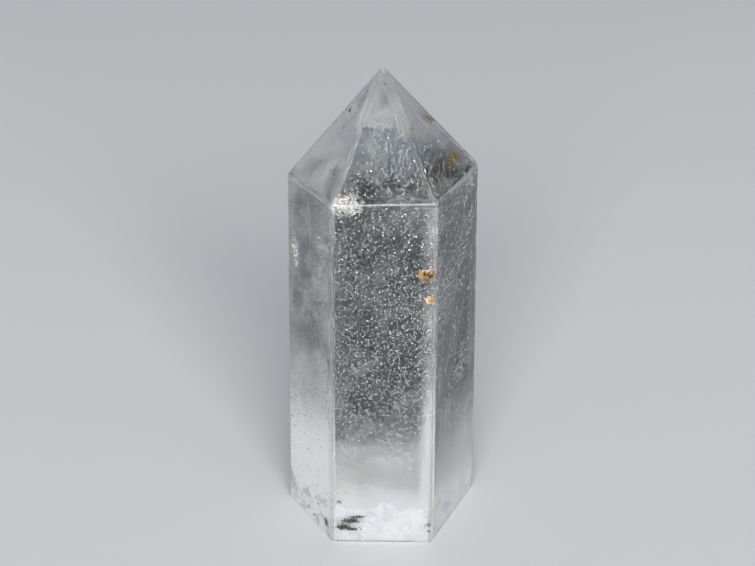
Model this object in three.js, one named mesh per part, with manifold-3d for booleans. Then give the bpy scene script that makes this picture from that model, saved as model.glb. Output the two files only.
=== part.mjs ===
// A polished quartz point: a clear six-sided prism that narrows a little towards a six-faced pyramid.
// It stands on its ground base. Millimetres, +Z up, origin at the middle of the base's outline.
// The front of the point, the side with the two stained pits, faces -Y.
import * as THREE from "three";
import { ConvexGeometry } from "three/addons/geometries/ConvexGeometry.js";
import { mergeVertices } from "three/addons/utils/BufferGeometryUtils.js";
import Module from "manifold-3d";

const wasm = await Module();
wasm.setup();

// Driving dimensions. Each corner of the base starts one prism face, which runs to the next corner in the
// list. lean is how far that face tips inwards, in degrees. shoulder is the height at which the upright
// edge over the corner ends and the pyramid begins.
const CORNERS = [
  { x: -16.9, y: -1.5, shoulder: 65.7, lean: 1.33 },
  { x: -8.8, y: -14.2, shoulder: 65.8, lean: 1.16 },
  { x: 8.6, y: -14.5, shoulder: 66.2, lean: 1.01 },
  { x: 16.9, y: 1.5, shoulder: 66.5, lean: 1.24 },
  { x: 7.9, y: 14.8, shoulder: 66.1, lean: 1.15 },
  { x: -8.9, y: 14.4, shoulder: 65.6, lean: 1.12 },
];
const LEFT = 0;
const FRONT_LEFT = 1;
const FRONT_RIGHT = 2;
const RIGHT = 3;
const BACK_RIGHT = 4;
const BACK_LEFT = 5;
const APEX = new THREE.Vector3(0, 0, 83.5);

// How deep the polisher eased each kind of edge
const UPRIGHT_EASE = 0.06;
const SHOULDER_EASE = 0.05;
const RIDGE_EASE = 0.05;
const BASE_EASE = 0.16;
const APEX_EASE = 0.12;
const EASE_BLOCK = 8;

const CHIP_DETAIL = 2;
const CHIP_ROUGHNESS = 0.22;
const MERGE_TOLERANCE = 1e-4;
const QUARTZ_COLOUR = 0xd4dade;
const QUARTZ_ROUGHNESS = 0.08;
const QUARTZ_OPACITY = 0.45;

// The upright edge over a corner at height z, where its two leaning faces meet.
function onUpright(index, z) {
  const rows = [(index + CORNERS.length - 1) % CORNERS.length, index].map((start) => {
    const from = CORNERS[start];
    const to = CORNERS[(start + 1) % CORNERS.length];
    const normal = new THREE.Vector2(to.y - from.y, from.x - to.x).normalize();
    const inward = z * Math.tan(THREE.MathUtils.degToRad(from.lean));
    return { normal, distance: normal.x * from.x + normal.y * from.y - inward };
  });
  const [a, b] = rows;
  const area = a.normal.x * b.normal.y - a.normal.y * b.normal.x;
  return new THREE.Vector3(
    (a.distance * b.normal.y - b.distance * a.normal.y) / area,
    (a.normal.x * b.distance - b.normal.x * a.distance) / area,
    z,
  );
}

const baseCorners = CORNERS.map((corner, index) => onUpright(index, 0));
const shoulderCorners = CORNERS.map((corner, index) => onUpright(index, corner.shoulder));

// A closed geometry as a solid that can be cut.
function toSolid(geometry) {
  const bare = geometry.clone();
  bare.deleteAttribute("normal");
  bare.deleteAttribute("uv");
  const merged = mergeVertices(bare, MERGE_TOLERANCE);
  return new wasm.Manifold(
    new wasm.Mesh({
      numProp: 3,
      vertProperties: new Float32Array(merged.getAttribute("position").array),
      triVerts: new Uint32Array(merged.getIndex().array),
    }),
  );
}

// A cut solid as a flat-shaded geometry.
function toGeometry(solid) {
  const mesh = solid.getMesh();
  const geometry = new THREE.BufferGeometry();
  geometry.setAttribute("position", new THREE.BufferAttribute(mesh.vertProperties, 3));
  geometry.setIndex(new THREE.BufferAttribute(mesh.triVerts, 1));
  const flat = geometry.toNonIndexed();
  flat.computeVertexNormals();
  return flat;
}

// The block that eases the edge from a to b. outward points away from the stone, square to the edge.
function easeBlock(a, b, outward, depth) {
  const along = b.clone().sub(a);
  const length = along.length() + EASE_BLOCK;
  along.normalize();
  const out = outward.clone().addScaledVector(along, -outward.dot(along)).normalize();
  const side = new THREE.Vector3().crossVectors(along, out);
  const centre = a.clone().add(b).multiplyScalar(0.5);
  centre.addScaledVector(out, EASE_BLOCK / 2 - depth);
  const placed = new THREE.Matrix4().makeBasis(out, side, along).setPosition(centre);
  return toSolid(new THREE.BoxGeometry(EASE_BLOCK, EASE_BLOCK, length).applyMatrix4(placed));
}

// The outward normal of the flat face through three points seen anticlockwise from outside.
function faceNormal(a, b, c) {
  return b.clone().sub(a).cross(c.clone().sub(a)).normalize();
}

// The cutters for all the stone's edges: uprights, shoulders, ridges, base and the very tip.
function edgeCutters() {
  const count = CORNERS.length;
  const sides = baseCorners.map((corner, i) =>
    faceNormal(corner, baseCorners[(i + 1) % count], shoulderCorners[i]),
  );
  const roofs = shoulderCorners.map((corner, i) =>
    faceNormal(corner, shoulderCorners[(i + 1) % count], APEX),
  );
  const down = new THREE.Vector3(0, 0, -1);
  const cutters = [];
  for (let i = 0; i < count; i++) {
    const next = (i + 1) % count;
    const before = (i + count - 1) % count;
    const uprightOut = sides[before].clone().add(sides[i]);
    const ridgeOut = roofs[before].clone().add(roofs[i]);
    const shoulderOut = sides[i].clone().add(roofs[i]);
    const baseOut = sides[i].clone().add(down);
    cutters.push(
      easeBlock(baseCorners[i], shoulderCorners[i], uprightOut, UPRIGHT_EASE),
      easeBlock(shoulderCorners[i], APEX, ridgeOut, RIDGE_EASE),
      easeBlock(shoulderCorners[i], shoulderCorners[next], shoulderOut, SHOULDER_EASE),
      easeBlock(baseCorners[i], baseCorners[next], baseOut, BASE_EASE),
    );
  }
  const tip = new THREE.BoxGeometry(EASE_BLOCK, EASE_BLOCK, EASE_BLOCK);
  tip.translate(APEX.x, APEX.y, APEX.z - APEX_EASE + EASE_BLOCK / 2);
  cutters.push(toSolid(tip));
  return cutters;
}

// Numbers from 0 to 1 that are the same on every run.
function sequence(seed) {
  const multiplier = 16807;
  const modulus = 2147483647;
  let state = seed;
  return () => {
    state = (state * multiplier) % modulus;
    return state / modulus;
  };
}

// One chip or pit: a lumpy scoop of the given half sizes, centred on a point of the surface.
function scoop({ at, size, turn = 0, seed }) {
  const random = sequence(seed);
  const geometry = new THREE.IcosahedronGeometry(1, CHIP_DETAIL);
  geometry.deleteAttribute("normal");
  geometry.deleteAttribute("uv");
  const round = mergeVertices(geometry, MERGE_TOLERANCE);
  const position = round.getAttribute("position");
  for (let i = 0; i < position.count; i++) {
    const swell = 1 + CHIP_ROUGHNESS * (random() - 0.5) * 2;
    position.setXYZ(i, position.getX(i) * swell, position.getY(i) * swell, position.getZ(i) * swell);
  }
  round.scale(...size);
  round.rotateY(THREE.MathUtils.degToRad(turn));
  round.translate(at.x, at.y, at.z);
  return toSolid(round);
}

// A point on the shoulder line that starts at a corner, or on the base line if low is true.
function onLine(index, share, low = false) {
  const ring = low ? baseCorners : shoulderCorners;
  return ring[index].clone().lerp(ring[(index + 1) % CORNERS.length], share);
}

// A point on the front face beside the front right upright, that far left of it.
function besideFrontRight(z, left) {
  const edge = onUpright(FRONT_RIGHT, z);
  const toLeft = onUpright(FRONT_LEFT, z).sub(edge).normalize();
  return edge.addScaledVector(toLeft, left);
}

// Chips, nicks and pits. The first two are the iron-stained pits beside the front right upright.
const SCOOPS = [
  { at: besideFrontRight(53.9, 1.25), size: [1.45, 0.62, 0.95], turn: -4, seed: 11 },
  { at: besideFrontRight(49.4, 0.7), size: [0.95, 0.42, 0.75], turn: 12, seed: 23 },
  { at: onUpright(FRONT_LEFT, 65.2), size: [0.7, 0.42, 0.5], turn: 10, seed: 31 },
  { at: onLine(FRONT_LEFT, 0.93, true), size: [0.85, 0.5, 0.34], seed: 37 },
  { at: onLine(FRONT_LEFT, 0.06, true), size: [0.6, 0.4, 0.4], seed: 41 },
  { at: onUpright(LEFT, 5.5), size: [0.4, 0.5, 1.9], seed: 43 },
  { at: onLine(LEFT, 0.3, true), size: [0.8, 0.7, 0.5], turn: 20, seed: 47 },
  { at: onLine(LEFT, 0.62, true), size: [0.6, 0.5, 0.35], seed: 53 },
  { at: onUpright(LEFT, 58), size: [0.3, 0.35, 1.1], seed: 59 },
  { at: onUpright(LEFT, 50.5), size: [0.32, 0.45, 1.5], seed: 61 },
  { at: onUpright(RIGHT, 61), size: [0.22, 0.3, 0.8], seed: 67 },
  { at: onUpright(RIGHT, 52.5), size: [0.26, 0.36, 1.3], seed: 71 },
  { at: onUpright(RIGHT, 43.5), size: [0.28, 0.4, 0.9], seed: 73 },
  { at: onUpright(RIGHT, 66.4), size: [0.45, 0.45, 0.35], seed: 79 },
  { at: onUpright(FRONT_RIGHT, 59.5), size: [0.25, 0.25, 1.4], seed: 83 },
  { at: onUpright(FRONT_RIGHT, 36.5), size: [0.3, 0.25, 0.9], seed: 89 },
  { at: onUpright(BACK_RIGHT, 31), size: [0.35, 0.3, 1.3], seed: 97 },
  { at: onUpright(BACK_LEFT, 57.5), size: [0.35, 0.35, 1.0], seed: 101 },
  { at: onLine(BACK_RIGHT, 0.4, true), size: [0.9, 0.5, 0.45], seed: 103 },
  { at: onLine(BACK_LEFT, 0.75, true), size: [0.6, 0.6, 0.4], seed: 107 },
  { at: onLine(BACK_RIGHT, 0.25), size: [0.5, 0.3, 0.25], seed: 109 },
];

// The whole point: the flat-faced form, its eased edges, then its chips and pits.
function quartzPoint() {
  let solid = toSolid(new ConvexGeometry([...baseCorners, ...shoulderCorners, APEX]));
  for (const cutter of edgeCutters()) {
    solid = solid.subtract(cutter);
  }
  for (const chip of SCOOPS) {
    solid = solid.subtract(scoop(chip));
  }
  const material = new THREE.MeshStandardMaterial({
    color: QUARTZ_COLOUR,
    roughness: QUARTZ_ROUGHNESS,
    metalness: 0,
    transparent: true,
    opacity: QUARTZ_OPACITY,
    flatShading: true,
  });
  const mesh = new THREE.Mesh(toGeometry(solid), material);
  mesh.name = "quartz_point";
  return mesh;
}

const group = new THREE.Group();
group.add(quartzPoint());

// The origin is the middle of the outline, so the group is moved by what the corners leave it off centre.
const outline = new THREE.Box3().setFromObject(group);
const middle = outline.getCenter(new THREE.Vector3());
group.position.set(-middle.x, -middle.y, -outline.min.z);

export default group;
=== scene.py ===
import itertools
import math
from collections import namedtuple

import bmesh
import bpy
import numpy as np
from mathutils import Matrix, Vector


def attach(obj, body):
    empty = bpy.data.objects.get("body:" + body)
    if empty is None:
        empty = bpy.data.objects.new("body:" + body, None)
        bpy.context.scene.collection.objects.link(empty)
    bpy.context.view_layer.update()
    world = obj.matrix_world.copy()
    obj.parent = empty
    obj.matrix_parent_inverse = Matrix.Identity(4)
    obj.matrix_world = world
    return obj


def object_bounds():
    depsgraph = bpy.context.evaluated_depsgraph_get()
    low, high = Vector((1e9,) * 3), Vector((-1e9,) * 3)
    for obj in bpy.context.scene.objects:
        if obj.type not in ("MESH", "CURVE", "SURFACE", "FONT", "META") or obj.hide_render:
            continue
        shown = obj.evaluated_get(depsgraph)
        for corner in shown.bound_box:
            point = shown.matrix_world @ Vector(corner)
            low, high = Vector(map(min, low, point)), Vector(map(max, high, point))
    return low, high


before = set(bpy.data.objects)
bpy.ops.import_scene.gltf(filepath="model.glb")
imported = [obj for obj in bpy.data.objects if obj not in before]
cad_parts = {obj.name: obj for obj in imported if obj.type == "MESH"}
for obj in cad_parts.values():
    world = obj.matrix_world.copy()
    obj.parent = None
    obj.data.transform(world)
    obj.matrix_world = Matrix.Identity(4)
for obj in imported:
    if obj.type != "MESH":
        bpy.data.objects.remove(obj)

cad_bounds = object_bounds()
MM = 0.001

# The camera, as found from the corners of the stone in the photograph: millimetres, +Y away from it.
CAMERA_PLACE = (-0.85, -190.71, 154.81)
CAMERA_PITCH = 30.0
FOCAL_PIXELS = 1300.0
IMAGE_WIDTH = 755.0
IMAGE_HEIGHT = 566.0

QUARTZ_IOR = 1.544
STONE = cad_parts["quartz_point"]

# A stretch of the stone's skin is one of its flat faces if a triangle of it is larger than this, in mm2.
FLAT_FACE_AREA = 8.0

# How closely a triangle's normal has to match a flat face's, as a cosine, to be part of that face
SAME_FACE = 0.9995

# How far a stained pit's crust reaches from its middle, and how far below the skin it starts, in mm
PIT_REACH = 2.3
PIT_DEPTH = 0.065

# A flake's thickness over its width
FLAKE_THICKNESS = 0.3

# How steeply the dashes behind the right face rise, in degrees
DASH_SLOPE = 35.0

# The way some of the stone's faces look
UP = (0.0, 0.0, 1.0)
DOWN = (0.0, 0.0, -1.0)
FRONT = (0.0, -1.0, 0.0)
BACK = (0.0, 1.0, 0.0)
BACK_ROOF = (0.0, 0.75, 0.66)
LEFT_FRONT = (-0.84, -0.54, 0.0)
RIGHT_FRONT = (0.89, -0.46, 0.0)
LEFT_FRONT_ROOF = (-0.63, -0.41, 0.66)
FRONT_ROOF = (0.0, -0.75, 0.66)
RIGHT_FRONT_ROOF = (0.66, -0.35, 0.66)
RIGHT_BACK = (0.83, 0.56, 0.0)
LEFT_BACK = (-0.89, 0.46, 0.0)
RIGHT_BACK_ROOF = (0.62, 0.42, 0.66)
LEFT_BACK_ROOF = (-0.66, 0.35, 0.66)

# A place where grains gather: its pixel in the photograph, how deep it lies along the line of sight, how far
# the grains spread along the three axes, both in millimetres, and how many they are
Spot = namedtuple("Spot", "pixel_x pixel_y depth spread count")

SPARKLE_SPOTS = {
    "cluster behind the right face": Spot(455, 340, 1.0, (0.9, 1.4, 3.2), 260),
    "streak at the right edge": Spot(473, 285, 0.5, (0.3, 0.5, 1.2), 40),
    "lower on the right face": Spot(450, 385, 1.0, (0.8, 1.2, 2.6), 90),
    "clump by the front right edge": Spot(428, 355, 0.6, (0.9, 0.6, 1.6), 120),
    "clump above the foot": Spot(388, 455, 0.8, (0.8, 0.5, 1.0), 50),
    "slanting cloud": Spot(380, 268, 1.5, (2.4, 0.8, 1.9), 160),
    "left cloud": Spot(352, 278, 2.5, (1.6, 0.8, 1.9), 60),
    "below the left cloud": Spot(358, 295, 1.5, (1.8, 0.8, 0.9), 60),
    "tip": Spot(375, 88, 0.8, (0.25, 0.3, 0.3), 16),
    "below the tip": Spot(370, 122, 2.0, (2.6, 1.4, 2.2), 160),
    "puff in the pyramid": Spot(388, 148, 0.8, (0.35, 0.3, 0.35), 30),
    "beside the front right ridge": Spot(431, 186, 0.8, (0.9, 0.5, 1.6), 60),
    "glint on the left face": Spot(316, 268, 0.5, (0.4, 0.4, 1.0), 20),
    "middle of the left face": Spot(308, 345, 0.6, (1.2, 0.8, 4.0), 60),
    "left of the pyramid": Spot(330, 150, 0.4, (3.0, 2.0, 3.4), 60),
    "top of the left face": Spot(304, 215, 0.4, (1.6, 2.0, 3.0), 30),
    "among the dark grains": Spot(354, 523, 0.12, (0.5, 0.05, 0.2), 26),
    "long dash above the foot": Spot(362, 484, 0.4, (1.3, 0.3, 0.14), 40),
    "short dash above the foot": Spot(382, 486, 0.4, (0.8, 0.3, 0.12), 14),
    "dash below the clump": Spot(408, 461, 0.6, (0.9, 0.3, 0.2), 26),
    "low on the left face": Spot(300, 392, 0.4, (0.4, 0.4, 0.5), 12),
}

# The pixels of a bright curve beside the front right ridge
CURVE_PIXELS = ((425, 171), (428, 174), (430, 178), (432, 183), (434, 188), (436, 194), (437, 200))

BRUISE_SPOTS = {
    "front left shoulder": Spot(345, 204, 0.8, (1.05, 0.7, 0.75), 800),
    "left of the shoulder": Spot(338, 203, 0.5, (0.5, 0.4, 0.5), 250),
    "under the shoulder": Spot(350, 208, 1.0, (0.8, 0.7, 0.5), 250),
    "left edge": Spot(295, 249, 0.5, (0.5, 0.6, 1.3), 380),
}

STAIN_SPOTS = {
    "right of the pyramid": Spot(455, 156, 0.35, (0.55, 0.45, 0.6), 420),
    "below it": Spot(451, 163, 0.5, (0.5, 0.5, 0.7), 160),
    "start of the tail": Spot(440, 178, 0.9, (1.2, 1.0, 0.7), 90),
    "end of the tail": Spot(425, 184, 1.2, (1.2, 1.0, 0.6), 70),
    "high on the right ridge": Spot(431, 119, 0.3, (0.5, 0.4, 0.4), 130),
    "dot on the left": Spot(350, 110, 0.3, (0.16, 0.16, 0.16), 26),
    "foot of the left edge": Spot(296, 474, 0.5, (0.5, 0.4, 1.0), 40),
    "foot of the front left edge": Spot(336, 500, 0.8, (0.5, 0.5, 1.2), 40),
    "behind the dark pit": Spot(428, 276, 0.9, (0.7, 0.4, 0.5), 130),
    "behind the pale pit": Spot(431, 300, 0.7, (0.5, 0.3, 0.4), 50),
}

SPECK_SPOTS = {
    "foot corner": Spot(326, 522, 0.16, (0.36, 0.3, 0.45), 420),
    "lower patch": Spot(343, 527, 0.16, (0.55, 0.06, 0.32), 300),
    "middle patch": Spot(350, 521, 0.16, (0.75, 0.06, 0.22), 340),
    "upper patch": Spot(357, 517, 0.16, (0.6, 0.06, 0.14), 120),
    "end of the lower patch": Spot(352, 529, 0.16, (0.5, 0.06, 0.16), 120),
    "first dot on the left": Spot(309, 506, 0.2, (0.12, 0.12, 0.16), 24),
    "second dot on the left": Spot(314, 514, 0.2, (0.15, 0.15, 0.12), 24),
    "dot above the corner": Spot(339, 502, 0.16, (0.16, 0.06, 0.16), 26),
    "dot on the right": Spot(428, 525, 0.16, (0.3, 0.06, 0.2), 30),
    "dot below it": Spot(428, 531, 0.16, (0.2, 0.06, 0.16), 16),
}

# The pixels of the middles of the two stained pits
DARK_PIT_PIXEL = (428.5, 275.5)
PALE_PIT_PIXEL = (431.0, 300.5)

# Colours from the lowest tone to the highest, and from a pit's middle outwards
# The dark end of these tones gives the dark grains at the foot and, in the speckle, painted shade; the light
# end is milky white
MILKY_DARK_AND_PAINTED_SHADE_TONES = [(0.0, (0.02, 0.022, 0.026)), (0.5, (0.26, 0.27, 0.29)), (1.0, (0.95, 0.96, 0.97))]
IRON_TONES = [(0.0, (0.10, 0.06, 0.005)), (0.5, (0.36, 0.25, 0.03)), (1.0, (0.66, 0.50, 0.14))]
BRUISE_TONES = [(0.0, (0.5, 0.49, 0.44)), (1.0, (0.97, 0.95, 0.89))]
DARK_PIT_TONES = [
    (0.32, (0.015, 0.006, 0.002)),
    (0.5, (0.10, 0.04, 0.006)),
    (0.64, (0.27, 0.125, 0.018)),
    (0.85, (0.34, 0.21, 0.08)),
]
PALE_PIT_TONES = [(0.15, (0.26, 0.13, 0.03)), (0.4, (0.44, 0.27, 0.10)), (0.7, (0.48, 0.38, 0.25))]


# The stone's flat faces

def flat_faces():
    """The planes of the stone's flat faces: outward normals, and distances in millimetres."""
    normals = []
    distances = []
    for polygon in STONE.data.polygons:
        normal = np.array(polygon.normal)
        known = any(np.dot(normal, other) > SAME_FACE for other in normals)
        if polygon.area < FLAT_FACE_AREA * MM * MM or known:
            continue
        normals.append(normal)
        distances.append(np.dot(normal, np.array(polygon.center)) / MM)
    return np.array(normals), np.array(distances)


FACE_NORMALS, FACE_DISTANCES = flat_faces()


def face_towards(direction):
    """The number of the flat face that looks most nearly in a direction."""
    return int(np.argmax(FACE_NORMALS @ unit(np.array(direction, dtype=float))))


def under_face(points, direction):
    """How deep points are under the flat face that looks most nearly in a direction, in millimetres."""
    face = face_towards(direction)
    return FACE_DISTANCES[face] - points @ FACE_NORMALS[face]


def depth_below_skin(points):
    """How far inside the stone points are, in millimetres, negative outside it."""
    return (FACE_DISTANCES - points @ FACE_NORMALS.T).min(axis=1)


def into_stone(pixel_x, pixel_y, depth):
    """The point that shows at a pixel of the photograph, at a depth along the line of sight in the stone."""
    pitch = math.radians(CAMERA_PITCH)
    ahead = np.array([0.0, math.cos(pitch), -math.sin(pitch)])
    up = np.array([0.0, math.sin(pitch), math.cos(pitch)])
    right = np.array([1.0, 0.0, 0.0])
    across = (pixel_x - IMAGE_WIDTH / 2) / FOCAL_PIXELS
    above = (IMAGE_HEIGHT / 2 - pixel_y) / FOCAL_PIXELS
    sight = ahead + across * right + above * up
    sight /= np.linalg.norm(sight)
    eye = np.array(CAMERA_PLACE)
    facing = FACE_NORMALS @ sight
    reach = (FACE_DISTANCES - FACE_NORMALS @ eye) / facing
    entry = int(np.argmax(np.where(facing < 0, reach, -np.inf)))
    normal = FACE_NORMALS[entry]
    ratio = 1.0 / QUARTZ_IOR
    cosine = -facing[entry]
    bent = ratio * sight + (ratio * cosine - math.sqrt(1 - ratio**2 * (1 - cosine**2))) * normal
    return eye + reach[entry] * sight + depth * bent


# Numbers for scattering

def lumps(points, seed, size, octaves=3):
    """Smooth noise from 0 to 1, with lumps of about size millimetres."""
    grid_side = 32
    random = np.random.default_rng(seed)
    total = np.zeros(len(points))
    for octave in range(octaves):
        grid = random.random((grid_side,) * 3)
        place = points / (size / 2**octave) + 1000.0
        cell = np.floor(place).astype(int)
        part = place - cell
        part = part * part * (3 - 2 * part)
        for corner in np.ndindex(2, 2, 2):
            index = (cell + corner) % grid_side
            share = np.prod(np.where(corner, part, 1 - part), axis=1)
            total += share * grid[index[:, 0], index[:, 1], index[:, 2]] / 2**octave
    return total / (2 - 2.0 ** (1 - octaves))


def ramp(values, low, high):
    """0 below low, 1 above high and smooth between them."""
    share = np.clip((values - low) / (high - low), 0, 1)
    return share * share * (3 - 2 * share)


def unit(vectors):
    return vectors / np.linalg.norm(vectors, axis=-1, keepdims=True)


def scattered(random, count, density, margin=0.15):
    """count points inside the stone, as dense in each place as density says, from 0 to 1."""
    low = np.array(cad_bounds[0]) / MM
    high = np.array(cad_bounds[1]) / MM
    kept = np.zeros((0, 3))
    while len(kept) < count:
        points = low + (high - low) * random.random((4 * count, 3))
        points = points[depth_below_skin(points) > margin]
        points = points[random.random(len(points)) < density(points)]
        kept = np.vstack([kept, points])
    return kept[:count]


def tumbled(random, count):
    return unit(random.normal(size=(count, 3)))


def streak_frame(points, direction, squeeze):
    """The points squeezed along a direction, so that noise on them is drawn out along it."""
    direction = np.array(direction) / np.linalg.norm(direction)
    along = points @ direction
    return points - (1 - squeeze) * along[:, None] * direction


def gathered(random, count, centre, spread, margin=0.1):
    """count points inside the stone, gathered round a centre. spread is one radius or three."""
    kept = np.zeros((0, 3))
    while len(kept) < count:
        points = centre + random.normal(size=(2 * count, 3)) * spread
        kept = np.vstack([kept, points[depth_below_skin(points) > margin]])
    return kept[:count]


def gathered_at(random, spots):
    """Points inside the stone, gathered round each spot in turn."""
    return np.vstack([
        gathered(random, spot.count, into_stone(spot.pixel_x, spot.pixel_y, spot.depth), spot.spread)
        for spot in spots
    ])


# Materials

def new_material(name, colour, roughness):
    material = bpy.data.materials.new(name)
    material.use_nodes = True
    tree = material.node_tree
    shader = tree.nodes["Principled BSDF"]
    shader.inputs["Base Color"].default_value = (*colour, 1.0)
    shader.inputs["Roughness"].default_value = roughness
    return material, tree, shader


def add_noise(tree, place, size, detail, roughness=0.6):
    """A noise node with lumps of about size millimetres."""
    noise = tree.nodes.new("ShaderNodeTexNoise")
    noise.inputs["Scale"].default_value = 1000.0 / size
    noise.inputs["Detail"].default_value = detail
    noise.inputs["Roughness"].default_value = roughness
    tree.links.new(place, noise.inputs["Vector"])
    return noise.outputs["Fac"]


def add_range(tree, value, low, high, to_low, to_high):
    """A node that turns low to high into to_low to to_high, and keeps to that range."""
    span = tree.nodes.new("ShaderNodeMapRange")
    span.interpolation_type = "SMOOTHSTEP"
    for name, number in zip(("From Min", "From Max", "To Min", "To Max"), (low, high, to_low, to_high)):
        span.inputs[name].default_value = number
    tree.links.new(value, span.inputs["Value"])
    return span.outputs["Result"]


def add_math(tree, operation, first, second):
    node = tree.nodes.new("ShaderNodeMath")
    node.operation = operation
    for socket, value in zip(node.inputs, (first, second)):
        if isinstance(value, float):
            socket.default_value = value
        else:
            tree.links.new(value, socket)
    return node.outputs["Value"]


def add_ramp(tree, value, stops):
    """A colour ramp. Each stop is a place from 0 to 1 and a colour."""
    colours = tree.nodes.new("ShaderNodeValToRGB")
    tree.links.new(value, colours.inputs["Fac"])
    ends = colours.color_ramp.elements
    ends[0].position, ends[-1].position = stops[0][0], stops[-1][0]
    for place, _ in stops[1:-1]:
        ends.new(place)
    for element, (_, colour) in zip(ends, stops):
        element.color = (*colour, 1.0)
    return colours.outputs["Color"]


def add_place(tree):
    return tree.nodes.new("ShaderNodeTexCoord").outputs["Object"]


def add_bump(tree, shader, height, strength, distance):
    bump = tree.nodes.new("ShaderNodeBump")
    bump.inputs["Strength"].default_value = strength
    bump.inputs["Distance"].default_value = distance * MM
    tree.links.new(height, bump.inputs["Height"])
    tree.links.new(bump.outputs["Normal"], shader.inputs["Normal"])


def glass(name, roughness):
    """Clear quartz, which darkens what is seen through it a little."""
    material, tree, shader = new_material(name, (1.0, 1.0, 1.0), roughness)
    shader.inputs["IOR"].default_value = QUARTZ_IOR
    shader.inputs["Transmission Weight"].default_value = 1.0
    absorption = tree.nodes.new("ShaderNodeVolumeAbsorption")
    absorption.inputs["Color"].default_value = (0.70, 0.73, 0.76, 1.0)
    absorption.inputs["Density"].default_value = 65.0
    tree.links.new(absorption.outputs[0], tree.nodes["Material Output"].inputs["Volume"])
    return material


def veil_material(name, clouds, size, grains=0.0, white_below=None, clear=None, streak=1.0, slant=0.0):
    """Milky film. It lets straight through what it doesn't scatter. Places and heights are in millimetres.

    clouds are the shares scattered between and in the soft clouds, which are about size across. grains is
    what fine grains add to the share, as a part of it. white_below are the heights between which the film
    turns solid white, with how solid it gets. clear are the places across between which it clears. streak
    draws the clouds out along a slant, in degrees.
    """
    colour = (0.98, 0.985, 0.99)
    material, tree, shader = new_material(name, colour, 0.7)
    shader.inputs["IOR"].default_value = 1.0
    place = add_place(tree)
    turn = tree.nodes.new("ShaderNodeMapping")
    turn.vector_type = "TEXTURE"
    turn.inputs["Rotation"].default_value = (0.0, -math.radians(slant), 0.0)
    turn.inputs["Scale"].default_value = (streak, 1.0, 1.0)
    tree.links.new(place, turn.inputs["Vector"])
    split = tree.nodes.new("ShaderNodeSeparateXYZ")
    tree.links.new(place, split.inputs["Vector"])
    soft = add_noise(tree, turn.outputs["Vector"], size, 8.0, 0.65)
    grain = add_noise(tree, place, 0.36, 2.0)
    share = add_range(tree, soft, 0.38, 0.66, *clouds)
    if grains:
        fine = add_range(tree, grain, 0.52, 0.66, 0.0, grains)
        share = add_math(tree, "ADD", share, add_math(tree, "MULTIPLY", fine, share))
    if white_below:
        low, high, most = white_below
        white = add_range(tree, split.outputs["Z"], low * MM, high * MM, most, 0.0)
        share = add_math(tree, "ADD", share, white)
    if clear:
        first, last = clear
        kept = add_range(tree, split.outputs["X"], first * MM, last * MM, 1.0, 0.0)
        share = add_math(tree, "MULTIPLY", share, kept)
    through = add_math(tree, "SUBTRACT", 1.0, share)
    through.node.use_clamp = True
    tree.links.new(through, shader.inputs["Transmission Weight"])
    cool = tuple(0.97 * part for part in colour)
    warm = (colour[0], 0.985 * colour[1], 0.95 * colour[2])
    tints = add_ramp(tree, soft, [(0.35, cool), (0.5, colour), (0.65, warm)])
    tree.links.new(tints, shader.inputs["Base Color"])
    tree.links.new(add_range(tree, grain, 0.3, 0.7, 0.5, 0.9), shader.inputs["Roughness"])
    return material


def painted_shade_film_material():
    """Painted shade: a dark film. It only dims what shows through it, and fades out towards its edges."""
    material, tree, shader = new_material("painted shade film", (1.0, 1.0, 1.0), 0.7)
    shader.inputs["IOR"].default_value = 1.0
    shader.inputs["Transmission Weight"].default_value = 1.0
    place = add_place(tree)
    split = tree.nodes.new("ShaderNodeSeparateXYZ")
    tree.links.new(place, split.inputs["Vector"])
    noise = add_noise(tree, place, 9.0, 6.0)
    strength = add_range(tree, noise, 0.36, 0.64, 0.88, 1.0)
    aside = add_math(tree, "ABSOLUTE", split.outputs["X"], 0.0)
    height = split.outputs["Z"]
    for value, first, last in ((aside, 10.5, 15.5), (height, 58.0, 69.0), (height, 21.0, 13.0)):
        kept = add_range(tree, value, first * MM, last * MM, 1.0, 0.0)
        strength = add_math(tree, "MULTIPLY", strength, kept)
    # The film's near-black tint is painted shade on what shows through the stone
    tints = add_ramp(tree, strength, [(0.0, (1.0, 1.0, 1.0)), (1.0, (0.008, 0.009, 0.011))])
    tree.links.new(tints, shader.inputs["Base Color"])
    tree.links.new(add_range(tree, noise, 0.3, 0.7, 0.6, 0.8), shader.inputs["Roughness"])
    return material


def toned_material(name, stops, roughness):
    """A matte material whose colour goes with each flake's tone, a little uneven within the flake."""
    material, tree, shader = new_material(name, stops[-1][1], roughness)
    tone = tree.nodes.new("ShaderNodeAttribute")
    tone.attribute_name = "tone"
    noise = add_noise(tree, add_place(tree), 0.2, 3.0)
    uneven = add_math(tree, "ADD", tone.outputs["Fac"], add_range(tree, noise, 0.3, 0.7, -0.08, 0.08))
    tree.links.new(add_ramp(tree, uneven, stops), shader.inputs["Base Color"])
    rough = add_range(tree, noise, 0.3, 0.7, roughness - 0.1, roughness + 0.1)
    tree.links.new(rough, shader.inputs["Roughness"])
    return material


def milky_material():
    """White quartz with soft clouds in it, some a little blue and some a little yellow."""
    material, tree, shader = new_material("milky quartz", (0.8, 0.81, 0.83), 0.6)
    place = add_place(tree)
    clouds = add_noise(tree, place, 3.5, 6.0)
    grain = add_noise(tree, place, 0.5, 4.0)
    mixed = add_math(tree, "ADD", clouds, add_range(tree, grain, 0.3, 0.7, -0.06, 0.06))
    stops = [(0.32, (0.54, 0.56, 0.60)), (0.43, (0.72, 0.735, 0.76)), (0.54, (0.80, 0.805, 0.81)),
             (0.70, (0.82, 0.805, 0.76))]
    tree.links.new(add_ramp(tree, mixed, stops), shader.inputs["Base Color"])
    tree.links.new(add_range(tree, grain, 0.3, 0.7, 0.5, 0.8), shader.inputs["Roughness"])
    add_bump(tree, shader, grain, 0.4, 0.15)
    return material


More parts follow.
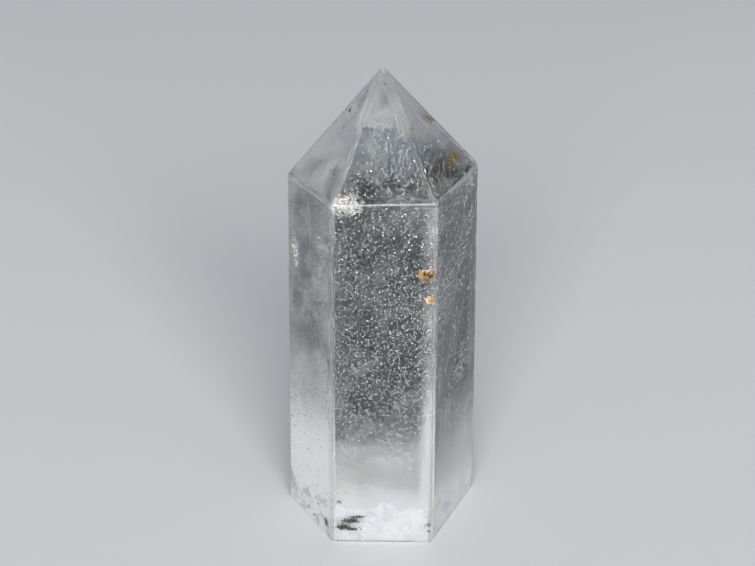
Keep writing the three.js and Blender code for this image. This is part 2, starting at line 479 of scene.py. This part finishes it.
def pit_material(name, centre, stops):
    """Iron crust in a pit. The stops go from its middle outwards, over 1.6 mm."""
    material, tree, shader = new_material(name, (0.5, 0.3, 0.1), 0.85)
    place = add_place(tree)
    noise = add_noise(tree, place, 0.6, 4.0)
    away = tree.nodes.new("ShaderNodeVectorMath")
    away.operation = "DISTANCE"
    away.inputs[1].default_value = Vector(centre) * MM
    tree.links.new(place, away.inputs[0])
    share = add_range(tree, away.outputs["Value"], 0.0, 1.6 * MM, 0.0, 1.0)
    share.node.interpolation_type = "LINEAR"
    uneven = add_math(tree, "ADD", share, add_range(tree, noise, 0.3, 0.7, -0.22, 0.22))
    tree.links.new(add_ramp(tree, uneven, stops), shader.inputs["Base Color"])
    tree.links.new(add_range(tree, noise, 0.3, 0.7, 0.7, 0.95), shader.inputs["Roughness"])
    add_bump(tree, shader, noise, 0.6, 0.1)
    return material


def ground_material():
    """The base, ground flat and left frosted, with fine scratches of the grit."""
    material, tree, shader = new_material("ground base", (0.95, 0.955, 0.965), 0.8)
    noise = add_noise(tree, add_place(tree), 0.6, 6.0)
    tree.links.new(add_ramp(tree, noise, [(0.3, (0.80, 0.81, 0.82)), (0.7, (0.95, 0.955, 0.965))]),
                   shader.inputs["Base Color"])
    tree.links.new(add_range(tree, noise, 0.3, 0.7, 0.65, 0.9), shader.inputs["Roughness"])
    add_bump(tree, shader, noise, 0.4, 0.05)
    return material


def polished_material():
    """Polished quartz, with faint smears and ripples left by the polishing."""
    material = glass("polished quartz", 0.02)
    tree = material.node_tree
    shader = tree.nodes["Principled BSDF"]
    place = add_place(tree)
    smears = add_range(tree, add_noise(tree, place, 5.0, 5.0), 0.45, 0.75, 0.01, 0.05)
    tree.links.new(smears, shader.inputs["Roughness"])
    add_bump(tree, shader, add_noise(tree, place, 9.0, 1.0), 0.1, 0.1)
    return material


def eased_material():
    """The eased edges, where the polish is worn and finely chipped."""
    material = glass("eased quartz", 0.45)
    tree = material.node_tree
    shader = tree.nodes["Principled BSDF"]
    shader.inputs["Transmission Weight"].default_value = 0.86
    noise = add_noise(tree, add_place(tree), 0.5, 4.0)
    tree.links.new(add_range(tree, noise, 0.35, 0.65, 0.25, 0.65), shader.inputs["Roughness"])
    add_bump(tree, shader, noise, 0.5, 0.06)
    return material


def bright_material():
    """The mirror-like walls of tiny flat hollows."""
    material, tree, shader = new_material("bright fracture", (0.96, 0.97, 0.98), 0.28)
    shader.inputs["Metallic"].default_value = 0.9
    noise = add_noise(tree, add_place(tree), 0.3, 3.0)
    tree.links.new(add_ramp(tree, noise, [(0.3, (0.85, 0.88, 0.92)), (0.7, (0.98, 0.98, 0.97))]),
                   shader.inputs["Base Color"])
    tree.links.new(add_range(tree, noise, 0.3, 0.7, 0.2, 0.38), shader.inputs["Roughness"])
    return material


# Pieces

def new_piece(name, mesh, material):
    piece = bpy.data.objects.new(name, mesh)
    bpy.context.scene.collection.objects.link(piece)
    mesh.materials.append(material)
    return piece


def make_flakes(name, centres, normals, alongs, lengths, widths, tones, material):
    """One mesh of thin closed flakes. Each lies across its normal and is longest along its along."""
    across = unit(normals)
    along = unit(alongs - across * np.sum(alongs * across, axis=1, keepdims=True))
    side = np.cross(across, along)
    count = len(centres)
    corners = np.zeros((count, 4, 3))
    for index, angle in enumerate((0.0, 120.0, 240.0)):
        turn = math.radians(angle)
        corners[:, index] = (
            centres
            + along * (lengths * math.cos(turn))[:, None]
            + side * (widths * math.sin(turn))[:, None]
        )
    corners[:, 3] = centres + across * (FLAKE_THICKNESS * widths)[:, None]
    faces = np.array([[0, 2, 1], [0, 1, 3], [1, 2, 3], [2, 0, 3]])
    faces = faces[None] + 4 * np.arange(count)[:, None, None]
    mesh = bpy.data.meshes.new(name)
    mesh.from_pydata(corners.reshape(-1, 3) * MM, [], faces.reshape(-1, 3))
    tone = mesh.attributes.new("tone", "FLOAT", "FACE")
    tone.data.foreach_set("value", np.repeat(tones, 4).astype(np.float32))
    piece = new_piece(name, mesh, material)
    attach(piece, "root")


def make_veil(name, point, normal, material, limits=(), margin=0.08, thickness=0.05):
    """A thin closed sheet through a point, square to a normal, that ends just short of the skin.

    Each limit is a direction and how far the sheet may reach along it from the origin, in millimetres.
    """
    normal = unit(np.array(normal, dtype=float))
    level = np.dot(normal, point)
    normals = np.vstack([FACE_NORMALS, normal, -normal])
    distances = np.concatenate([FACE_DISTANCES - margin, [level + thickness / 2, thickness / 2 - level]])
    for direction, reach in limits:
        normals = np.vstack([normals, direction])
        distances = np.append(distances, reach)
    corners = []
    for trio in itertools.combinations(range(len(normals)), 3):
        rows = normals[list(trio)]
        if abs(np.linalg.det(rows)) < 1e-4:
            continue
        corner = np.linalg.solve(rows, distances[list(trio)])
        if (normals @ corner < distances + 1e-6).all():
            corners.append(corner)
    form = bmesh.new()
    for corner in corners:
        form.verts.new(Vector(corner) * MM)
    bmesh.ops.remove_doubles(form, verts=form.verts[:], dist=1e-6)
    bmesh.ops.convex_hull(form, input=form.verts[:])
    mesh = bpy.data.meshes.new(name)
    form.to_mesh(mesh)
    form.free()
    piece = new_piece(name, mesh, material)
    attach(piece, "root")


def skin_veil(name, direction, depth, material, limits=()):
    """A veil that runs close under the flat face that looks most nearly in a direction."""
    face = face_towards(direction)
    normal = FACE_NORMALS[face]
    make_veil(name, normal * (FACE_DISTANCES[face] - depth), normal, material, limits)


def make_left_veils():
    side = veil_material("left veil", (0.02, 0.22), 6.0, grains=2.0, white_below=(11.0, 40.0, 1.0))
    skin_veil("left_veil", LEFT_FRONT, 0.4, side)
    roof = veil_material("left roof veil", (0.14, 0.4), 4.0, grains=0.7)
    skin_veil("left_roof_veil", LEFT_FRONT_ROOF, 0.4, roof)


def make_back_veils():
    side = veil_material("back veil", (0.1, 0.5), 6.0, grains=1.0, white_below=(8.0, 30.0, 1.0),
                         streak=2.0, slant=60.0)
    skin_veil("right_back_veil", RIGHT_BACK, 0.5, side)
    roof = veil_material("back roof veil", (0.55, 0.95), 4.0, grains=0.6)
    skin_veil("back_roof_veil", BACK_ROOF, 0.5, roof)
    skin_veil("right_back_roof_veil", RIGHT_BACK_ROOF, 0.5, roof)
    skin_veil("left_back_roof_veil", LEFT_BACK_ROOF, 0.5, roof)


def make_painted_shade_film():
    """Painted shade: the dark film that runs through the middle of the stone, behind the white speckle."""
    make_veil("painted_shade_film", (0.0, 4.0, 40.0), BACK, painted_shade_film_material(), [(UP, 69.5), (DOWN, -12.0)])


def make_front_veils():
    foot = veil_material("front foot veil", (0.0, 0.1), 2.5, grains=2.0, white_below=(17.0, 25.0, 0.3))
    skin_veil("front_foot_veil", FRONT, 0.5, foot, [(UP, 27.0)])
    right_foot = veil_material("right foot veil", (0.0, 0.1), 2.5, grains=2.0, white_below=(12.0, 24.0, 0.3))
    skin_veil("right_foot_veil", RIGHT_FRONT, 0.5, right_foot, [(UP, 27.0)])
    edge = veil_material("edge veil", (0.1, 0.34), 3.0, grains=1.8, white_below=(16.0, 38.0, 1.0),
                         clear=(8.2, 5.8))
    skin_veil("front_edge_veil", FRONT, 0.95, edge)
    roof = veil_material("front roof veil", (-0.03, 0.1), 4.0, grains=2.2)
    skin_veil("front_roof_veil", FRONT_ROOF, 0.5, roof)
    skin_veil("right_roof_veil", RIGHT_FRONT_ROOF, 0.5, roof)
    tip = veil_material("tip veil", (0.16, 0.36), 3.0, grains=0.8)
    above = [(DOWN, -75.2)]
    skin_veil("front_tip_veil", FRONT_ROOF, 0.9, tip, above)
    skin_veil("right_tip_veil", RIGHT_FRONT_ROOF, 0.9, tip, above)
    cloud = veil_material("cloud", (-0.17, 0.11), 4.5, grains=0.7, clear=(5.0, 9.0), streak=2.2, slant=38.0)
    above_foot = [(DOWN, -13.0)]
    make_veil("near_cloud", (0.0, -9.0, 40.0), (0.12, -1.0, 0.18), cloud, above_foot)
    make_veil("middle_cloud", (0.0, -1.0, 42.0), (-0.2, -1.0, 0.35), cloud, above_foot)
    make_veil("far_cloud", (0.0, 9.0, 40.0), (0.25, -1.0, 0.1), cloud, above_foot)


# Inclusions

def haze_density(points):
    """Pale grains: a veil under the left faces, the tip, and thin clouds elsewhere."""
    cloud = ramp(lumps(streak_frame(points, (1, 0.2, 1), 0.5), 3, 9.0), 0.45, 0.75)
    left = np.exp(-under_face(points, LEFT_FRONT) / 3.0)
    left_roof = np.exp(-under_face(points, LEFT_FRONT_ROOF) / 2.5)
    tip = ramp(points[:, 2], 68.0, 77.0)
    return np.clip(0.01 + 0.06 * cloud + 0.6 * left + 0.5 * left_roof + 0.7 * tip, 0, 1)


def speckle_density(points):
    """White speckle: clouds drawn out along a rising slant, thickest close behind the front face."""
    cloud = ramp(lumps(streak_frame(points, (1, 0, 0.8), 0.4), 5, 6.0, 4), 0.4, 0.62)
    depth = np.minimum(under_face(points, FRONT), under_face(points, FRONT_ROOF))
    depth = np.minimum(depth, under_face(points, RIGHT_FRONT) + 6.0)
    above_foot = ramp(points[:, 2], 12.0, 24.0)
    below_tip = 1 - 0.6 * ramp(points[:, 2], 70.0, 77.0)
    return (0.12 + 0.88 * cloud) * np.exp(-depth / 3.5) * above_foot * below_tip


def left_speckle_density(points):
    """Speckle close under the left face, thickest in its middle and thinning towards the tip."""
    cloud = ramp(lumps(streak_frame(points, (0.5, -0.8, 1.0), 0.5), 16, 4.0, 4), 0.45, 0.62)
    middle = np.exp(-((points[:, 2] - 38.0) / 9.0) ** 2)
    rising = 1 - 0.8 * ramp(points[:, 2], 30.0, 66.0)
    depth = np.minimum(under_face(points, LEFT_FRONT), under_face(points, LEFT_FRONT_ROOF))
    return (0.1 + 0.5 * cloud + 0.4 * middle) * rising * np.exp(-depth / 1.2)


def back_speckle_density(points):
    """Speckle close under the two faces at the back and the left."""
    cloud = ramp(lumps(streak_frame(points, (1, 0, -0.8), 0.4), 15, 6.0, 4), 0.42, 0.64)
    depth = np.minimum(under_face(points, BACK), under_face(points, LEFT_BACK))
    return (0.1 + 0.9 * cloud) * np.exp(-depth / 4.0) * ramp(points[:, 2], 10.0, 18.0)


def root_density(points):
    """Milky quartz: a thin cloud in all of the foot, and a tongue of it that climbs the left side."""
    ragged = 6.0 * (lumps(points, 8, 6.0) - 0.5)
    foot = 1 - ramp(points[:, 2] + ragged, 3.0, 12.0)
    left = ramp(-points[:, 0] - 0.35 * points[:, 1] + ragged, 7.0, 15.0)
    tongue = left * (1 - ramp(points[:, 2] + 3 * ragged, 16.0, 42.0))
    return np.clip(0.35 * foot + tongue, 0, 1)


def make_haze(material):
    """Pale grains in the left faces, the tip and thin clouds elsewhere."""
    random = np.random.default_rng(1)
    count = 20000
    centres = scattered(random, count, haze_density)
    sizes = random.uniform(0.06, 0.15, count)
    tones = random.uniform(0.75, 1.0, count)
    normals = unit(np.array([0.0, -1.0, 0.4]) + 0.35 * random.normal(size=(count, 3)))
    make_flakes("haze", centres, normals, tumbled(random, count), sizes, sizes, tones,
                material)


def make_speckle(material):
    """White speckle behind the front face, grey to white speckle behind the back and darker speckle behind
    the left; the grey and dark grains are painted shade.
    """
    random = np.random.default_rng(2)
    counts = (12000, 14000, 7000)
    densities = (speckle_density, left_speckle_density, back_speckle_density)
    count = sum(counts)
    centres = np.vstack([scattered(random, number, density) for number, density in zip(counts, densities)])
    sizes = 0.05 + 0.15 * random.random(count) ** 2
    # The left speckle's dark tones and the back speckle's grey tones are painted shade in the stone; the
    # front speckle stays pale
    tones = np.repeat([0.75, 0.0, 0.5], counts)
    tones = tones + (1 - tones) * random.random(count) ** np.repeat([0.5, 1.3, 0.6], counts)
    facing = np.repeat([[0.0, -1.0, 0.3], [-0.4, -1.0, 0.3], [-0.3, 1.0, 0.3]], counts, axis=0)
    normals = unit(facing + 0.4 * random.normal(size=(count, 3)))
    make_flakes("speckle", centres, normals, tumbled(random, count), sizes, sizes, tones,
                material)


def foot_top(points):
    """How high the milky foot reaches, in millimetres, by where it is in plan."""
    ragged = 3.0 * (lumps(points * (1, 1, 0), 21, 4.0) - 0.5)
    left = ramp(-points[:, 0] - 0.3 * points[:, 1], 9.0, 18.0)
    right = ramp(points[:, 0], 8.0, 17.0)
    return 11.3 + 2.0 * left - 3.2 * right + ragged


def reach_of_skin(directions, heights):
    """How far the skin is from the upright axis, in level directions at some heights."""
    facing = directions @ FACE_NORMALS.T
    room = FACE_DISTANCES - heights[:, None] * FACE_NORMALS[:, 2]
    return np.where(facing > 0.05, room / np.maximum(facing, 0.05), np.inf).min(axis=1)


def make_foot(material):
    """The milky foot: a lumpy closed body close under the skin, with a sunken ragged top."""
    columns = 300
    rows = 30
    rings = 24
    lowest = 0.15
    sunken_height = 8.5
    angles = np.arange(columns) * 2 * math.pi / columns
    directions = np.stack([np.sin(angles), -np.cos(angles), np.zeros(columns)], axis=1)
    rim = directions * reach_of_skin(directions, np.zeros(columns))[:, None]
    tops = foot_top(rim)
    layers = []
    for row in range(rows + 1):
        heights = lowest + (tops - lowest) * row / rows
        points = directions * reach_of_skin(directions, heights)[:, None]
        points = points + heights[:, None] * np.array([0, 0, 1])
        inset = 0.2 + 0.4 * lumps(points, 25, 1.6) + 1.2 * (row / rows) ** 6
        layers.append(points - directions * inset[:, None])
    edge = layers[-1]
    for ring in range(1, rings):
        share = 1 - ring / rings
        points = edge * (share, share, 1)
        sunken = sunken_height + (edge[:, 2] - sunken_height) * share**7
        points[:, 2] = sunken + 2.0 * (1 - share) * (lumps(points, 26, 3.0) - 0.5)
        layers.append(points)
    count = len(layers) * columns
    vertices = np.vstack(layers + [[[0, 0, lowest]], [[0, 0, sunken_height]]])
    faces = []
    for layer in range(len(layers) - 1):
        for column in range(columns):
            after = (column + 1) % columns
            low = layer * columns
            faces.append((low + column, low + after, low + columns + after, low + columns + column))
    last = (len(layers) - 1) * columns
    for column in range(columns):
        after = (column + 1) % columns
        faces.append((column, count, after))
        faces.append((last + column, last + after, count + 1))
    mesh = bpy.data.meshes.new("milky_foot")
    mesh.from_pydata(vertices * MM, [], faces)
    mesh.polygons.foreach_set("use_smooth", [True] * len(mesh.polygons))
    piece = new_piece("milky_foot", mesh, material)
    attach(piece, "root")


def make_sparkles(material):
    """Bright flat hollows that face the front, in clumps and all through the speckle."""
    random = np.random.default_rng(4)
    curve = [Spot(pixel_x, pixel_y, 0.4, (0.12, 0.1, 0.3), 9) for pixel_x, pixel_y in CURVE_PIXELS]
    spots = [*SPARKLE_SPOTS.values(), *curve]
    centres = np.vstack([gathered_at(random, spots), scattered(random, 5200, speckle_density)])
    count = len(centres)
    sizes = random.uniform(0.06, 0.19, count)
    normals = unit(np.array([0.0, -1.0, 0.3]) + 0.25 * random.normal(size=(count, 3)))
    make_flakes("sparkles", centres, normals, tumbled(random, count), sizes, sizes,
                np.ones(count), material)


def make_root(material):
    """White grains in the foot and up the left side."""
    random = np.random.default_rng(6)
    count = 26000
    centres = scattered(random, count, root_density, 0.3)
    sizes = random.uniform(0.08, 0.24, count)
    tones = random.uniform(0.8, 1.0, count)
    make_flakes("milky_root", centres, tumbled(random, count), tumbled(random, count), sizes, sizes, tones,
                material)


def make_bruise(material):
    """Creamy crushed patches at the front left shoulder and the left edge."""
    random = np.random.default_rng(7)
    centres = gathered_at(random, BRUISE_SPOTS.values())
    count = len(centres)
    sizes = random.uniform(0.12, 0.38, count)
    make_flakes("bruise", centres, tumbled(random, count), tumbled(random, count), sizes, sizes,
                random.uniform(0.85, 1.0, count), material)


def make_hackles(material):
    """Fine steep dashes under the right face, where an old fracture healed."""
    random = np.random.default_rng(9)
    count = 5200
    outward = FACE_NORMALS[face_towards(RIGHT_FRONT)]
    level = np.cross((0, 0, 1), outward)
    slope = math.radians(DASH_SLOPE)
    rising = level * math.cos(slope) + np.array([0, 0, 1]) * math.sin(slope)

    def density(points):
        under = under_face(points, RIGHT_FRONT)
        band = ramp(lumps(streak_frame(points, rising, 0.25), 12, 3.5), 0.42, 0.66)
        return np.exp(-under / 3.0) * (0.12 + 0.88 * band) * ramp(points[:, 2], 8, 16)

    centres = scattered(random, count, density)
    lengths = random.uniform(0.12, 0.6, count)
    widths = random.uniform(0.05, 0.12, count)
    along = unit(rising + 0.18 * random.normal(size=(count, 3)))
    normals = unit(outward + np.array([0.0, -0.6, 0.3]) + 0.4 * random.normal(size=(count, 3)))
    tones = 0.7 + 0.3 * random.random(count)
    make_flakes("hackles", centres, normals, along, lengths, widths, tones, material)


def make_stains(material):
    """Films of iron in the cracks."""
    random = np.random.default_rng(10)
    centres = gathered_at(random, STAIN_SPOTS.values())
    count = len(centres)
    sizes = random.uniform(0.08, 0.2, count)
    make_flakes("iron_stains", centres, tumbled(random, count), tumbled(random, count), sizes, sizes,
                random.random(count), material)


def make_specks(material):
    """Dark grains near the foot."""
    random = np.random.default_rng(11)
    centres = gathered_at(random, SPECK_SPOTS.values())
    count = len(centres)
    sizes = random.uniform(0.06, 0.2, count)
    make_flakes("dark_specks", centres, tumbled(random, count), tumbled(random, count), sizes, sizes,
                0.3 * random.random(count), material)


# The stone itself

STAINED_PITS = [into_stone(*DARK_PIT_PIXEL, 0.0), into_stone(*PALE_PIT_PIXEL, 0.0)]


def dress_stone():
    """Gives each triangle of the stone the material of what it is part of."""
    materials = [
        polished_material(),
        eased_material(),
        ground_material(),
        pit_material("dark stained pit", STAINED_PITS[0], DARK_PIT_TONES),
        pit_material("pale stained pit", STAINED_PITS[1], PALE_PIT_TONES),
    ]
    STONE.data.materials.clear()
    for material in materials:
        STONE.data.materials.append(material)
    for polygon in STONE.data.polygons:
        match = (FACE_NORMALS @ np.array(polygon.normal)).max()
        middle = np.array(polygon.center) / MM
        gaps = [np.linalg.norm(middle - pit) for pit in STAINED_PITS]
        sunken = depth_below_skin(middle[None])[0] > PIT_DEPTH
        pitted = min(gaps) < PIT_REACH and match < SAME_FACE and sunken
        if polygon.normal.z < -0.5:
            polygon.material_index = 2
        elif pitted:
            polygon.material_index = 3 + int(np.argmin(gaps))
        elif match > SAME_FACE:
            polygon.material_index = 0
        else:
            polygon.material_index = 1


# The studio

def make_camera():
    data = bpy.data.cameras.new("camera")
    data.sensor_fit = "HORIZONTAL"
    data.sensor_width = 36.0
    data.lens = data.sensor_width * FOCAL_PIXELS / IMAGE_WIDTH
    data.clip_start = 0.005
    data.clip_end = 50.0
    camera = bpy.data.objects.new("camera", data)
    camera.location = Vector(CAMERA_PLACE) * MM
    camera.rotation_euler = (math.radians(90.0 - CAMERA_PITCH), 0.0, 0.0)
    bpy.context.scene.collection.objects.link(camera)
    bpy.context.scene.camera = camera


def make_lamp(name, azimuth, elevation, distance, width, height, power):
    """A softbox that looks at the stone. Azimuth 0 is on the camera's side, 90 on the right."""
    data = bpy.data.lights.new(name, "AREA")
    data.shape = "RECTANGLE"
    data.size = width
    data.size_y = height
    data.energy = power
    lamp = bpy.data.objects.new(name, data)
    flat = distance * math.cos(math.radians(elevation))
    place = Vector((
        flat * math.sin(math.radians(azimuth)),
        -flat * math.cos(math.radians(azimuth)),
        distance * math.sin(math.radians(elevation)),
    ))
    lamp.location = place + Vector((0.0, 0.0, 0.04))
    lamp.rotation_euler = (-place).to_track_quat("-Z", "Y").to_euler()
    bpy.context.scene.collection.objects.link(lamp)


def make_world():
    world = bpy.data.worlds.new("studio")
    world.use_nodes = True
    tree = world.node_tree
    background = tree.nodes["Background"]
    place = tree.nodes.new("ShaderNodeTexCoord")
    split = tree.nodes.new("ShaderNodeSeparateXYZ")
    tree.links.new(place.outputs["Generated"], split.inputs[0])
    sky = add_ramp(tree, split.outputs["Z"], [(0.05, (0.30, 0.31, 0.32)), (0.6, (0.28, 0.30, 0.33))])
    tree.links.new(sky, background.inputs["Color"])
    background.inputs["Strength"].default_value = 1.0
    bpy.context.scene.world = world


def make_floor():
    material, _, shader = new_material("pale floor", (0.60, 0.603, 0.61), 0.8)
    shader.inputs["Specular IOR Level"].default_value = 0.1
    bpy.ops.mesh.primitive_circle_add(vertices=96, radius=3.0, fill_type="NGON")
    floor = bpy.context.object
    floor.name = "floor"
    floor.location.z = -0.0001
    floor.data.materials.append(material)


make_camera()
make_world()
make_lamp("key", azimuth=4.0, elevation=24.0, distance=2.2, width=2.1, height=1.3, power=91.0)
make_floor()
dress_stone()
# Milky white grains, the dark grains at the foot, and grey and dark speckle that is painted shade
veil = toned_material("milky veil, dark grains and painted shade", MILKY_DARK_AND_PAINTED_SHADE_TONES, 0.6)
iron = toned_material("iron stain", IRON_TONES, 0.8)
make_haze(veil)
make_speckle(veil)
make_sparkles(bright_material())
make_root(veil)
make_foot(milky_material())
make_left_veils()
make_back_veils()
# Painted shade: a dark film that dims the view through the middle of the stone
make_painted_shade_film()
make_front_veils()
make_bruise(toned_material("creamy bruise", BRUISE_TONES, 0.55))
make_hackles(veil)
make_stains(iron)
make_specks(veil)

scene = bpy.context.scene
scene.view_settings.view_transform = "Standard"
scene.cycles.max_bounces = 16
scene.cycles.transmission_bounces = 16
scene.cycles.diffuse_bounces = 5
scene.cycles.glossy_bounces = 8
scene.cycles.sample_clamp_indirect = 12.0
